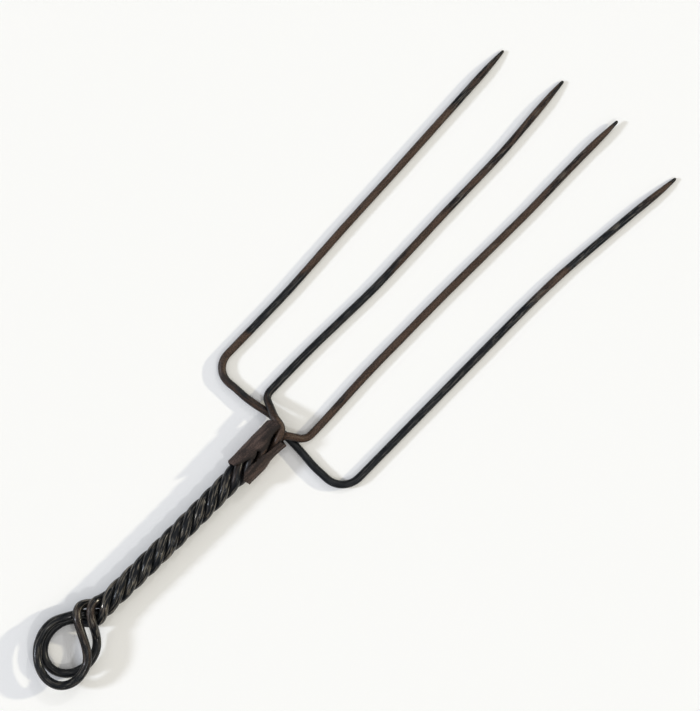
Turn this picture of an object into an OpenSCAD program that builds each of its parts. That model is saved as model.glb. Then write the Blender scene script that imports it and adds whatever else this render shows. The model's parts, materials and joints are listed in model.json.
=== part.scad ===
// Wire flesh fork: two doubled iron wires, twisted together as a grip and held by a sheet-iron clasp.
// It lies on a table, with +Z up and +Y from the hanging ring to the points of the tines.

/* [Wire] */
// Diameter of the iron wire
wire_d = 4.4; // [3.6:0.1:5]
// Clearance that the strands and loops are laid up with
strand_gap = 0.45; // [0.45:0.01:0.9]
// Diameter that a tine is worn down to where its point begins
shank_d = 4.1; // [3.4:0.1:4.4]
// Length of a tine's point
point_l = 25; // [15:1:35]
// Width of a point's blunt end
tip_d = 1.3; // [0.8:0.1:2]
// Height that the right inner tine's point stands off the table
raised_point = 1.8; // [0.5:0.1:4]

/* [Left outer tine] */
// Distance of the tine's root from the grip's axis
outer_left_reach = 50; // [42:0.5:60]
// Length of the tine from the clasp's mouth
outer_left_l = 237; // [190:1:260]
// Outward set of the point from the root
outer_left_splay = 8.2; // [0:0.1:12]

/* [Left inner tine] */
// Distance of the tine's root from the grip's axis
inner_left_reach = 19; // [17:0.5:24]
// Length of the tine from the clasp's mouth
inner_left_l = 248; // [190:1:260]
// Outward set of the point from the root
inner_left_splay = 4.1; // [0:0.1:6]

/* [Right inner tine] */
// Distance of the tine's root from the grip's axis
inner_right_reach = 14; // [13:0.5:20]
// Length of the tine from the clasp's mouth
inner_right_l = 253; // [190:1:260]
// Outward set of the point from the root
inner_right_splay = 0; // [0:0.1:6]

/* [Right outer tine] */
// Distance of the tine's root from the grip's axis
outer_right_reach = 49.3; // [42:0.1:60]
// Length of the tine from the clasp's mouth
outer_right_l = 253; // [190:1:260]
// Outward set of the point from the root
outer_right_splay = 9.9; // [0:0.1:12]

/* [Cranks] */
// Bend radius of the left outer tine
outer_left_bend_r = 11; // [8:0.5:14]
// Bend radius of the right outer tine
outer_right_bend_r = 13; // [8:0.5:14]
// Bend radius of the left inner tine
inner_left_bend_r = 4.5; // [4:0.1:6]
// Bend radius of the right inner tine
inner_right_bend_r = 6.5; // [5:0.1:8]

/* [Grip] */
// Length of bare twist between the ring's neck and the clasp
grip_l = 100; // [90:1:130]
// Lay of the twist at the ring's neck, the length of one turn
lay_neck = 43.5; // [38:0.5:50]
// Lay of the twist where it enters the clasp
lay_clasp = 38; // [36:0.5:46]
// Lay of the twist at the clasp's mouth
lay_mouth = 62; // [56:0.5:80]
// Sideways set of the grip at the ring's neck
grip_bow = 1.8; // [0:0.1:4]

/* [Clasp] */
// Length of the clasp along the grip
clasp_l = 32; // [26:0.5:40]
// Width of the clasp
clasp_w = 17.5; // [17:0.1:22]
// Thickness of the sheet iron
sheet_t = 1; // [0.6:0.1:1.5]
// Clearance between the clasp and the strands
clasp_gap = 0.3; // [0.2:0.05:0.6]
// Radius of the clasp's rolled sides
clasp_corner_r = 5; // [4:0.1:6]
// Distance by which the right lip stops short of the left one
lip_step = 2.8; // [2:0.1:4]
// Width of the seam at the mouth
seam_mouth_w = 6.5; // [2:0.1:8]
// Width of the seam at the grip end
seam_foot_w = 1; // [0.5:0.1:2]
// Sideways place of the seam's middle
seam_x = 2.1; // [0:0.1:3]

/* [Ring] */
// Long diameter of the outer loop, between wire centres
big_loop_l = 37; // [35:0.5:46]
// Short diameter of the outer loop, between wire centres
big_loop_w = 28.4; // [27:0.2:36]
// Lean of the outer loop's long diameter from the grip's axis
big_loop_lean = 38; // [28:1:48]
// Length of the inner loop, between wire centres
small_loop_l = 31.8; // [30:0.2:34]
// Width of the inner loop, between wire centres
small_loop_w = 27.2; // [25:0.2:28.4]
// Sideways set of the outer loop from the end of the twist
big_loop_set = 1.7; // [1:0.1:2.4]
// Sideways set of the inner loop from the end of the twist
small_loop_set = 2.4; // [1.8:0.1:3]
// Distance by which the inner loop begins nearer the grip than the outer one
small_loop_rise = 1.7; // [0:0.1:2.2]

/* [Hidden] */

// Fineness of the wires
sides = 10;
strand_step = 2.2;
tine_step = 13;
loop_rings = 26;
bend_rings = 7;
bend_step = 1.8;

wire_r = wire_d / 2;
// Length over which a tine wears down to its point
wear_l = 150;
// Distance between the centres of two wires that lie side by side
spacing = wire_d + strand_gap;

// Turns made along a length l of twist, a share f of it from the start, as its lay changes
function turns(l, lay_a, lay_b, f) = l * (f / lay_a + (1 / lay_b - 1 / lay_a) * f * f / 2);

// The lay is stretched a little, so that whole turns and this share of one bring the strands to the neck
neck_turn = 0.146;
asked_turns = turns(clasp_l, lay_mouth, lay_clasp, 1) + turns(grip_l, lay_clasp, lay_neck, 1);
lay_stretch = asked_turns / (round(asked_turns - neck_turn) + neck_turn);
tightest_lay = lay_stretch * min(lay_neck, lay_clasp, lay_mouth);

// The four strands lie on a circle, which their lean makes wider than a straight bundle's
bundle_r = spacing / sqrt(2);
twist_r = bundle_r / cos(atan(2 * PI * bundle_r / tightest_lay));
clasp_h = 2 * (twist_r + wire_r + clasp_gap + sheet_t);
axis_z = clasp_h / 2;
neck_y = -clasp_l - grip_l;
// Length of the neck, in which the strands change places, from the twist's end to the loops
neck_l = 3.7 * spacing;

// Angle of each strand at the clasp's mouth, clockwise from the top as seen from the ring
mouth_turn = 25;
inner_left_turn = mouth_turn;
inner_right_turn = mouth_turn + 90;
outer_right_turn = mouth_turn + 180;
outer_left_turn = mouth_turn + 270;

// Small sideways bows of each hand-straightened tine: [share of its length, outward set]
outer_left_bows = [[0.07, 0], [0.25, 0.3], [0.44, 2.7], [0.61, 4.1]];
inner_left_bows = [[0.07, 0], [0.18, 0.2], [0.38, -1.6], [0.6, -0.2], [0.79, 0.2]];
inner_right_bows = [[0.07, 0], [0.23, -1.6], [0.46, -1.5], [0.73, -0.2], [0.88, -0.7]];
outer_right_bows = [[0.07, 0], [0.55, 0.3], [0.67, 1.1], [0.88, 6.2]];
bow_ease = 0.04;

function unit(v) = v / norm(v);
function mix(a, b, f) = a + (b - a) * f;
function joined(lists) = [for (l = lists) for (p = l) p];
function reversed(l) = [for (i = [len(l) - 1:-1:0]) l[i]];
function slice(l, from) = [for (i = [from:len(l) - 1]) l[i]];

// Place of a strand at y, and its heading towards the tines
function strand_at(turn, y) =
    let (in_clasp = min(-y / clasp_l, 1),
         in_grip = max((-y - clasp_l) / grip_l, 0),
         a = turn + 360 / lay_stretch * (turns(clasp_l, lay_mouth, lay_clasp, in_clasp)
                                         + turns(grip_l, lay_clasp, lay_neck, in_grip)))
    [-grip_bow * in_grip * in_grip + twist_r * sin(a), y, axis_z + twist_r * cos(a)];
function strand_heading(turn, y) = unit(strand_at(turn, y + 0.1) - strand_at(turn, y - 0.1));
function strand(turn, from_y, to_y) =
    let (steps = ceil((to_y - from_y) / strand_step))
    [for (i = [0:steps - 1]) strand_at(turn, mix(from_y, to_y, i / steps))];

// A stop on a wire's way is its place and its heading there. These are the points of a way that bends
// smoothly from stop to stop, without its last point
function strand_stop(turn, y) = [strand_at(turn, y), strand_heading(turn, y)];
function eased_bend(from, to) =
    let (p = from[0],
         q = to[0],
         reach = norm(q - p),
         steps = ceil(reach / bend_step))
    [for (i = [0:steps - 1])
        let (f = i / steps, g = 1 - f)
        p * g * g * (1 + 2 * f) + q * f * f * (3 - 2 * f)
        + (unit(from[1]) * g - unit(to[1]) * f) * reach * f * g];
function way(stops) = [for (i = [0:len(stops) - 2]) each eased_bend(stops[i], stops[i + 1])];

// Points of a round bend of radius r at the corner c, on the way from p to q
function round_bend(p, c, q, r, steps = bend_rings) =
    let (a = unit(p - c),
         b = unit(q - c),
         half = acos(a * b) / 2,
         hub = c + unit(a + b) * r / sin(half),
         start = c + a * r / tan(half) - hub,
         end = c + b * r / tan(half) - hub,
         sweep = 180 - 2 * half)
    [for (i = [0:steps])
        hub + (start * sin(sweep * (1 - i / steps)) + end * sin(sweep * i / steps)) / sin(sweep)];

// Outward set of a tine at a share f of its length, with the corners of its bows eased
function bow_at(bows, splay, f) =
    let (stations = concat(bows, [[1, splay]]))
    (lookup(f - bow_ease, stations) + 2 * lookup(f, stations) + lookup(f + bow_ease, stations)) / 4;

// Radius of a wire at a distance from its tip: it swells quickly along the point, then slowly
function radius_off(to_tip) =
    let (f = min(to_tip / point_l, 1))
    mix(tip_d, shank_d, f * (2 - f)) / 2
    + (wire_d - shank_d) / 2 * min(max(to_tip - point_l, 0) / wear_l, 1);

// A tine from its root bend to its point, which may be lifted off the table; side is -1 on the left
function tine_at(side, reach, l, splay, bows, lift, y) =
    [side * (reach + bow_at(bows, splay, y / l)), y,
     radius_off(l - y) + lift * max(1 - (l - y) / point_l, 0)];
function tine(side, reach, l, splay, bows, lift, from_y) =
    let (shank_end = l - point_l,
         steps = ceil((shank_end - from_y) / tine_step),
         places = concat([for (i = [1:steps]) mix(from_y, shank_end, i / steps)],
                         [for (f = [0.3, 0.6, 0.8, 0.93, 1]) shank_end + f * point_l]))
    [for (y = places) tine_at(side, reach, l, splay, bows, lift, y)];

// One leg of a wire, from the ring's neck to the point of its tine: the strand leaves the twist at
// leave_y, bends past its stops to run_from and runs sideways to the root corner of the tine
function leg(turn, leave_y, stops, run_from, root, bend_r, side, reach, l, splay, bows, lift = 0) =
    let (bend = round_bend(run_from, root, root + [0, l, 0], bend_r))
    concat(strand(turn, neck_y, leave_y),
           way(concat([strand_stop(turn, leave_y)], stops, [[run_from, root - run_from]])),
           [run_from],
           bend,
           tine(side, reach, l, splay, bows, lift, bend[len(bend) - 1].y));

// A place at the clasp's mouth, counted in wire spacings from the middle of the twist
function mouth_point(x, y, z) = [x, y, z] * spacing + [0, 0, axis_z];
low_z = wire_r;

// Each inner leg passes over the outer one beside it
outer_left_leg =
    leg(outer_left_turn, 0, [], mouth_point(-1.95, 0.93, -0.6),
        [-outer_left_reach, -0.29 * spacing, low_z], outer_left_bend_r,
        -1, outer_left_reach, outer_left_l, outer_left_splay, outer_left_bows);
inner_left_leg =
    leg(inner_left_turn, -8, [[mouth_point(0.42, -0.4, 0.98), [-0.35, 0.93, 0.1]]],
        mouth_point(-1.55, 1.6, 0.6),
        [-inner_left_reach, 2.1 * spacing, low_z], inner_left_bend_r,
        -1, inner_left_reach, inner_left_l, inner_left_splay, inner_left_bows);
inner_right_leg =
    leg(inner_right_turn, -6.5, [[mouth_point(0.8, -0.2, -0.04), [0.25, 0.9, 0.35]]],
        mouth_point(1.65, 0.82, -0.15),
        [inner_right_reach, 1.85 * spacing, low_z], inner_right_bend_r,
        1, inner_right_reach, inner_right_l, inner_right_splay, inner_right_bows, raised_point);
outer_right_leg =
    leg(outer_right_turn, -1.5, [], [1.9 * spacing, 0.3 * spacing, low_z],
        [outer_right_reach, -0.04 * spacing, low_z], outer_right_bend_r,
        1, outer_right_reach, outer_right_l, outer_right_splay, outer_right_bows);

// Point of a leaning oval, with a measured clockwise from its long end nearest the grip
function oval_at(middle, l, w, lean, a) =
    let (along = cos(a) * l / 2,
         across = sin(a) * w / 2)
    middle + [across * cos(lean) - along * sin(lean), along * cos(lean) + across * sin(lean), 0];
function oval_heading(l, w, lean, a) =
    unit(oval_at([0, 0, 0], l, w, lean, a + 1) - oval_at([0, 0, 0], l, w, lean, a - 1));

// A bight: one leg comes down past its stops, rounds the oval and goes back up past the others
function bight(down_turn, down_stops, middle, l, w, lean, leave_a, return_a, leave_z, return_z,
               up_stops, up_turn) =
    let (down = strand_stop(down_turn, neck_y),
         oval = [for (i = [0:loop_rings])
             let (a = mix(leave_a, return_a, i / loop_rings))
             oval_at(middle, l, w, lean, a) + [0, 0, mix(leave_z, return_z, i / loop_rings)]],
         leave = [oval[0], oval_heading(l, w, lean, leave_a)],
         return = [oval[loop_rings], oval_heading(l, w, lean, return_a)])
    concat(slice(way(concat([[down[0], -down[1]]], down_stops, [leave])), 1),
           oval,
           slice(way(concat([return], up_stops, [strand_stop(up_turn, neck_y)])), 1));

// A place at the neck, counted in wire spacings from the middle of the loops' near end
function neck_point(x, y, z) = [-grip_bow, neck_y - neck_l, axis_z] + [x, y, z] * spacing;

// The inner wire's leg comes from behind, bows out as a shoulder and crosses over its own return
inner_bight = bight(
    down_turn = inner_right_turn,
    down_stops = [[neck_point(-1.93, 1.18, 0.32), [0.03, -0.72, 0.74]]],
    middle = neck_point(0, 0, 0) + [big_loop_set, -big_loop_l / 2, 0],
    l = big_loop_l, w = big_loop_w, lean = big_loop_lean,
    leave_a = 110, return_a = 345,
    leave_z = 0.62 * spacing, return_z = 0.08 * spacing,
    up_stops = [[neck_point(-1.13, 0.7, -0.3), [0.74, 0.67, -0.22]],
                [neck_point(0.21, 2.06, -0.76), [0.68, 0.72, 0.1]]],
    up_turn = inner_left_turn);

// The outer wire's leg crosses in front of the neck, and its return passes under both loops
outer_bight = bight(
    down_turn = outer_right_turn,
    down_stops = [[neck_point(-1.09, 2.6, 0.68), [0.08, -0.9, 0.4]],
                  [neck_point(0.18, 1.03, 0.86), [0.86, -0.5, 0.02]]],
    middle = neck_point(0, 0, 0) + [small_loop_set, small_loop_rise - small_loop_l / 2, 0],
    l = small_loop_l, w = small_loop_w, lean = 0,
    leave_a = 35, return_a = 320,
    leave_z = -0.4 * spacing, return_z = -1.03 * spacing,
    up_stops = [[neck_point(-0.03, 0.28, -1.03), [0.74, 0.67, 0.1]],
                [neck_point(0.79, 1.62, 0.04), [0.05, 0.8, 0.6]]],
    up_turn = outer_left_turn);

inner_path = joined([reversed(inner_right_leg), inner_bight, inner_left_leg]);
outer_path = joined([reversed(outer_right_leg), outer_bight, outer_left_leg]);

// Radius of a wire at one of its points
function radius_at(path, p) = radius_off(min(norm(p - path[0]), norm(p - path[len(path) - 1])));

// Heading of a path at each of its points, and a side direction that doesn't turn about it
function headings(path) =
    [for (i = [0:len(path) - 1]) unit(path[min(i + 1, len(path) - 1)] - path[max(i - 1, 0)])];
function square_to(v, heading) = unit(v - heading * (v * heading));
function side_directions(along) =
    [for (i = 0, n = square_to([0, 0, 1], along[0]);
          i < len(along);
          i = i + 1, n = i < len(along) ? square_to(n, along[i]) : n) n];

// A round wire of one unbroken skin along a path
module wire_along(path) {
    along = headings(path);
    across = side_directions(along);
    last = len(path) - 1;
    points = [for (i = [0:last]) for (k = [0:sides - 1])
        let (a = 360 * k / sides, r = radius_at(path, path[i]))
        path[i] + r * (across[i] * cos(a) + cross(along[i], across[i]) * sin(a))];
    skin = [for (i = [0:last - 1]) for (k = [0:sides - 1])
        let (m = (k + 1) % sides, p = i * sides, q = p + sides)
        each [[p + k, q + k, p + m], [p + m, q + k, q + m]]];
    start_cap = [for (k = [1:sides - 2]) [0, k, k + 1]];
    end_cap = [for (k = [1:sides - 2]) [last * sides, last * sides + k + 1, last * sides + k]];
    polyhedron(points, concat(skin, start_cap, end_cap));
}

// The origin lies under the middle of the fork, on the table
function reaches(path, side) = [for (p = path) side * p.x + radius_at(path, p)];
left_reach = max(concat(reaches(inner_path, -1), reaches(outer_path, -1)));
right_reach = max(concat(reaches(inner_path, 1), reaches(outer_path, 1)));
ring_end = min([for (p = concat(inner_bight, outer_bight)) p.y]) - wire_r;
points_end = max(outer_left_l, inner_left_l, inner_right_l, outer_right_l);
middle = [(right_reach - left_reach) / 2, (points_end + ring_end) / 2, 0];

// Least gaps, measured on the points of the wires
function gap_between(a, b) = min([for (p = a) for (q = b) norm(p - q)]) - wire_d;
function gap_to_itself(path) =
    let (apart = ceil(4 * wire_d / strand_step))
    min([for (i = [0:len(path) - 1 - apart]) for (j = [i + apart:len(path) - 1])
        norm(path[i] - path[j])]) - wire_d;
echo(inner_wire_gap = gap_to_itself(inner_path));
echo(outer_wire_gap = gap_to_itself(outer_path));
echo(gap_between_wires = gap_between(inner_path, outer_path));

module inner_tine_wire() {
    color([0.22, 0.22, 0.23]) translate(-middle) wire_along(inner_path);
}

module outer_tine_wire() {
    color([0.25, 0.24, 0.23]) translate(-middle) wire_along(outer_path);
}

module rounded_section(w, h, r) {
    square([w - 2 * r, h], center = true);
    square([w, h - 2 * r], center = true);
    for (x = [-1, 1], y = [-1, 1])
        translate([x * (w / 2 - r), y * (h / 2 - r)]) circle(r, $fn = 48);
}

// The sheet goes all the way round, apart from a seam on top that opens towards the tines
module clasp() {
    over = 1;
    left_lip = lip_step * 0.4;
    right_lip = left_lip - lip_step;
    color([0.36, 0.28, 0.23]) translate(-middle) difference() {
        translate([0, left_lip, axis_z]) rotate([90, 0, 0]) linear_extrude(clasp_l + left_lip)
            difference() {
                rounded_section(clasp_w, clasp_h, clasp_corner_r);
                rounded_section(clasp_w - 2 * sheet_t, clasp_h - 2 * sheet_t, clasp_corner_r - sheet_t);
            }
        translate([seam_x, right_lip, -over]) cube([clasp_w, lip_step + over, clasp_h + 2 * over]);
        translate([-clasp_w, right_lip, -over]) cube([2 * clasp_w, lip_step + over, axis_z + over]);
        translate([seam_x, 0, axis_z]) linear_extrude(clasp_h)
            polygon([[-seam_foot_w / 2, -clasp_l - over], [seam_foot_w / 2, -clasp_l - over],
                     [seam_mouth_w / 2, left_lip + over], [-seam_mouth_w / 2, left_lip + over]]);
    }
}

inner_tine_wire();
outer_tine_wire();
clasp();
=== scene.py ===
"""A wire flesh fork: two forged wires twisted into a grip, a torn sheet clasp and the table they lie on."""

import json
import math
from collections import namedtuple

import bpy
import numpy as np
from bpy.props import FloatProperty, FloatVectorProperty, IntProperty, PointerProperty
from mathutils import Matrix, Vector, noise

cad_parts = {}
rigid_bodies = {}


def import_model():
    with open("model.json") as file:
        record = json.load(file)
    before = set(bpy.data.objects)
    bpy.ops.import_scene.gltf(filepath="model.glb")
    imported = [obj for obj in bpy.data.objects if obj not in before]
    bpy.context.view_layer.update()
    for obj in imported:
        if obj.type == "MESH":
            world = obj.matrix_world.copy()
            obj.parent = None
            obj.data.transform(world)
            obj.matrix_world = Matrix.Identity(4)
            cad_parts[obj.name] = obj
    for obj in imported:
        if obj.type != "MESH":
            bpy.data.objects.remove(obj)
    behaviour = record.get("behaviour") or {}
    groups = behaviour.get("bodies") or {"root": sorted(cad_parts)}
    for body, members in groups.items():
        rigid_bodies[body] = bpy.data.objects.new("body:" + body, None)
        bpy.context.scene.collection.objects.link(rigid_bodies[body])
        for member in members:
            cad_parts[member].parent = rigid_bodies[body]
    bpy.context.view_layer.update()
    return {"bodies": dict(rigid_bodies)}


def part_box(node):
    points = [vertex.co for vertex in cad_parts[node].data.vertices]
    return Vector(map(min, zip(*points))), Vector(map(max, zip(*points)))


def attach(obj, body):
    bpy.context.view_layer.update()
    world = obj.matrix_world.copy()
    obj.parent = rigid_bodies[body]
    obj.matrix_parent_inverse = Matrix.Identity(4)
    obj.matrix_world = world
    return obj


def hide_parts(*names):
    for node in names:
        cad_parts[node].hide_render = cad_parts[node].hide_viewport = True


bl_info = {
    "name": "Flesh fork",
    "version": (1, 0, 0),
    "blender": (4, 5, 0),
    "location": "3D View > Sidebar > Flesh fork",
    "description": "Dresses a wire flesh fork: forged wires, a torn sheet clasp and the table it lies on",
    "category": "Add Mesh",
}

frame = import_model()
CLASP_LOW, CLASP_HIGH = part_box("clasp")
(BODY,) = frame["bodies"]

# The camera's view: the width of table that it shows, the place under its middle, and the turn of its
# upright from the fork's own axis
VIEW_WIDTH = 0.385
VIEW_MIDDLE = Vector((-0.00136, 0.0251, 0.003))
VIEW_TURN = math.radians(44.34)
SENSOR_WIDTH = 36.0
# The table's half width, and how far it lies under the fork
TABLE_HALF = 4.0
TABLE_DROP = 0.0002

# A tine: its side, the angle of its strand at the clasp's mouth and where the strand leaves the twist; the
# stops on its way out, the start of its sideways run and its root, all counted in wire spacings; the place
# and depth of that run's sag; the reach and radius of its crank; its length, its splay and the bows on the
# way, the lift of its point, and how rusty it is, by share of its length
Tine = namedtuple(
    "Tine", "side turn leave stops run_from root_y sag reach crank_r length splay bows lift rust")
MOUTH_TURN = 25.0
OUTER_LEFT = Tine(
    side=-1, turn=MOUTH_TURN + 270, leave=0.0, stops=[], run_from=(-1.95, 0.85, -0.85),
    root_y=-0.25, sag=(0.5, 0.0008), reach=0.050, crank_r=0.011, length=0.237, splay=0.0082,
    bows=[(0.07, 0.0), (0.25, 0.0003), (0.44, 0.0027), (0.61, 0.0041)], lift=0.0,
    rust=[(0.0, 0.3), (0.01, 0.55), (0.03, 0.65), (0.07, 0.75), (0.11, 0.75), (0.13, 0.1), (0.22, 0.15),
          (0.38, 1.0), (0.52, 0.65), (0.7, 0.9), (0.79, 0.85), (0.85, 0.25), (0.9, 0.65), (0.97, 0.5)])
INNER_LEFT = Tine(
    side=-1, turn=MOUTH_TURN, leave=-0.008,
    stops=[((0.5, -0.4, 0.87), (-0.25, 0.96, 0.1)), ((-0.1, 0.66, 0.86), (-0.8, 0.58, 0.0))],
    run_from=(-1.5, 1.0, 0.8),
    root_y=1.95, sag=(0.5, 0.0), reach=0.019, crank_r=0.005, length=0.248, splay=0.0041,
    bows=[(0.07, 0.0), (0.18, 0.0002), (0.38, -0.0016), (0.6, -0.0002), (0.79, 0.0002)], lift=0.0,
    rust=[(0.0, 0.7), (0.05, 0.3), (0.1, 0.15), (0.22, 0.15), (0.26, 0.4), (0.3, 0.15), (0.38, 0.15),
          (0.43, 0.5), (0.5, 0.8), (0.56, 0.9), (0.62, 0.5), (0.75, 0.55), (0.85, 0.45), (0.9, 0.65),
          (0.97, 0.5)])
INNER_RIGHT = Tine(
    side=1, turn=MOUTH_TURN + 90, leave=-0.0065, stops=[((0.74, 0.15, 0.05), (0.25, 0.9, 0.35))],
    run_from=(1.45, 0.72, -0.15),
    root_y=1.62, sag=(0.5, 0.0), reach=0.014, crank_r=0.0065, length=0.253, splay=0.0,
    bows=[(0.07, 0.0), (0.23, -0.0016), (0.46, -0.0015), (0.73, -0.0002), (0.88, -0.0007)], lift=0.0018,
    rust=[(0.0, 0.8), (0.14, 0.6), (0.33, 0.75), (0.38, 0.95), (0.53, 0.9), (0.6, 0.7), (0.73, 0.85),
          (0.8, 0.5), (0.88, 0.55), (0.92, 0.7), (0.97, 0.5)])
OUTER_RIGHT = Tine(
    side=1, turn=MOUTH_TURN + 180, leave=-0.0015, stops=[], run_from=(1.9, 0.3, None),
    root_y=-0.04, sag=(0.68, 0.0005), reach=0.0493, crank_r=0.013, length=0.253, splay=0.0099,
    bows=[(0.07, 0.0), (0.55, 0.0003), (0.67, 0.0011), (0.88, 0.0062)], lift=0.0,
    rust=[(0.0, 0.15), (0.1, 0.05), (0.52, 0.1), (0.58, 0.35), (0.63, 0.6), (0.68, 0.8), (0.72, 0.05),
          (0.85, 0.05), (0.9, 0.5), (0.97, 0.5)])
BOW_EASE = 0.04
# Least share of its radius that a tine's blunt end keeps
BLUNT_END = 0.3

# The neck: the share of a turn at which the strands reach it, its length in wire spacings, and each wire's
# way there: its stops down to its loop, the angles and heights where it joins and leaves the loop, and its
# stops back up, with places and heights counted in wire spacings
Bight = namedtuple("Bight", "down_stops leave_a return_a leave_z return_z up_stops")
NECK_TURN = 0.146
NECK_L = 3.7
INNER_BIGHT = Bight(
    down_stops=[((-1.93, 1.18, 0.32), (0.03, -0.72, 0.74))],
    leave_a=110, return_a=345, leave_z=0.62, return_z=0.08,
    up_stops=[((-1.13, 0.7, -0.3), (0.74, 0.67, -0.22)), ((0.21, 2.06, -0.76), (0.68, 0.72, 0.1))])
OUTER_BIGHT = Bight(
    down_stops=[((-1.09, 2.6, 0.68), (0.08, -0.9, 0.4)), ((0.18, 1.03, 0.86), (0.86, -0.5, 0.02))],
    leave_a=35, return_a=320, leave_z=-0.4, return_z=-1.03,
    up_stops=[((-0.03, 0.28, -1.03), (0.74, 0.67, 0.1)), ((0.79, 1.62, 0.04), (0.05, 0.8, 0.6))])

# Fineness of the wires' centre lines
LINE_STEP = 0.0005
HEADING_STEP = 0.0001
BEND_POINTS = 24
LOOP_POINTS = 150
EASE_PASSES = 8
# Most that the box of a wire may stand off the box of the solid that it dresses
FIT_SLACK = 0.0006

# Where marks of use come in, as the distances over which each eases in: above or below the ring's neck,
# below the clasp's foot, above its mouth, above the middle of the grip, and from the point of a tine
BED_ABOVE_NECK = (0.0, 0.012)
WEAR_ABOVE_NECK = (-0.003, 0.003)
RUST_BELOW_NECK = (0.0, 0.004)
RUB_BELOW_NECK = (0.012, 0.022)
SWELL_BELOW_CLASP = (-0.006, 0.004)
RUB_BELOW_CLASP = (0.0, 0.01)
RUB_ABOVE_MOUTH = (0.0, 0.02)
POLISH_ABOVE_MOUTH = (0.1, 0.15)
RUST_ABOVE_MIDDLE = (0.0009, 0.0039)
RUB_ABOVE_MIDDLE = (-0.0024, 0.0036)
RUST_FROM_POINT = (0.0, 0.005)
# Where a strand's crest begins and is full, in wire radii, and how level a surface is as the painted shade on
# the wire's steep sides thins out
CREST_SPAN = (0.214, 0.929)
SIDE_SHADE_SPAN = (0.2, 0.867)
# How far the wire is rubbed: near and away from a tine's root, in the grip's hollows and on its crests, and
# low and high on the ring
TINE_RUB = (0.15, 0.45)
GRIP_RUB = (0.08, 0.9)
RING_RUB = (0.12, 0.3)
# Share of the height over the worn grip that is gone from its crests
CREST_LOSS = 0.4
# How rusty the wires are down the grip, by distance from the clasp's mouth, and on top of the ring
GRIP_RUST = [(0.0, 0.6), (0.03, 0.4), (0.05, 0.15), (0.12, 0.1), (0.16, 0.1)]
RING_RUST = 0.45

# The finishes: fineness of their grains in cells to a metre, and how far some are drawn out lengthwise
WIRE_PATCHES = 450.0
WIRE_STREAKS = 1200.0
WIRE_SPECKS = 1500.0
WIRE_DRAW = 0.15
SHEET_STAINS = 520.0
SHEET_SPECKS = 1600.0
SHEET_DRAW = 0.2
# Levels of those grains between which each look comes in
RUSTY_SPAN = (0.3, 0.75)
GREY_SPAN = (0.4, 0.7)
BROWN_SPAN = (0.3, 0.65)
FLECK_SPAN = (0.49, 0.67)
STAIN_SPAN = (0.2, 0.68)
SPECK_SPAN = (0.3, 0.7)
PIT_LEVEL = 0.58
# How strongly patches spread the rust and mottle its brown, painted shade darkens the wire's steep sides and
# the sheet by its seam, rust hides scratches, flecks are metal, and specks mottle the sheet
PATCH_SPREAD = 1.1
PATCH_MOTTLE = 0.3
SIDE_SHADE_SHARE = 0.8
SEAM_SHADE_SHARE = 0.4
SCRATCH_SHARES = (1.0, 0.4)
FLECK_METAL = 0.5
SHEET_MOTTLE = (-0.1, 0.1)
# Roughness of the scale, dull and polished, of the rust, of the specks on both, of the sheet and the table
SCALE_ROUGHNESS = (0.32, 0.15)
RUST_ROUGHNESS = 0.44
SPECK_ROUGHNESS = (-0.05, 0.08)
SHEET_ROUGHNESS = (0.62, 0.82)
TABLE_ROUGHNESS = 0.7
GLOSS = 0.2
# Strength and depth of the fine bumps
WIRE_BUMP = (0.06, 0.4)
WIRE_BUMP_DEPTH = 0.0003
SHEET_BUMP = 0.5
SHEET_BUMP_DEPTH = 0.0004

# The clasp's torn edges: the sideways place of each side of the seam along the grip, and the places of
# the foot and the lip round the sheet, by distance from the middle of its top, to the left and to the right
LEFT_SEAM = [(-0.0238, -0.0019), (-0.021, -0.0008), (-0.019, 0.001), (-0.0165, -0.0002), (-0.015, -0.0012),
             (-0.0131, 0.0018), (-0.011, 0.0019), (-0.0085, 0.0008), (-0.0047, -0.0005), (0.0, -0.001),
             (0.004, -0.0013)]
RIGHT_SEAM = [(-0.0278, 0.0017), (-0.024, 0.002), (-0.0196, 0.0028), (-0.0135, 0.0032), (-0.0111, 0.0039),
              (-0.006, 0.0048), (-0.0023, 0.0049)]
LEFT_FOOT = [(0.0015, -0.0238), (0.0045, -0.0295), (0.0085, -0.0303), (0.0125, -0.0298), (0.02, -0.0318)]
RIGHT_FOOT = [(0.0017, -0.0278), (0.0054, -0.0318), (0.0108, -0.0312), (0.02, -0.032)]
LEFT_LIP = [(0.0013, 0.004), (0.003, 0.0037), (0.0075, 0.0024), (0.0105, 0.0013), (0.0125, 0.0004),
            (0.022, -0.0017)]
RIGHT_LIP = [(0.0049, -0.0023), (0.012, -0.0019), (0.022, -0.0017)]
# Share of the lip step by which the solid's left lip stands past the mouth
LEFT_LIP_SHARE = 0.4
# The wave in the right side of the sheet, along the grip
RIGHT_SIDE = [(-0.03, 0.0), (-0.019, 0.0003), (-0.0145, -0.0007), (-0.009, -0.0006), (-0.003, 0.0)]
# Small tears along each edge: their fineness in cells to a metre, and the lane of noise that they follow
LEFT_TEARS = (300.0, 1.7)
RIGHT_TEARS = (260.0, 8.2)
FOOT_TEARS = (280.0, 6.1)
LIP_TEARS = (240.0, 4.4)
# That noise's level, and how it builds up: its roughness, the step between its octaves and their number
TEAR_LEVEL = 0.3
TEAR_BUILD = (0.8, 2.0, 4)
# Lumps of the sheet: the fineness in cells to a metre and the share of each size, and their lengthwise draw
LUMP_SIZES = [(170.0, 1.0), (520.0, 0.35)]
LUMP_DRAW = 0.4
# Height over the flat underside at which the lumps come in, and how far from the seam its tuck reaches
UNDERSIDE_SPAN = (0.0, 0.003)
TUCK_REACH = 0.0012
# Painted shade along the right edge of the seam, as a share of that along the left one
RIGHT_SEAM_SHADE = 0.6
# The sheet's worn edge: its width, its segments and the least corner that is worn
EDGE_WIDTH = 0.00018
EDGE_SEGMENTS = 2
EDGE_CORNER = math.radians(60)

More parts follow.
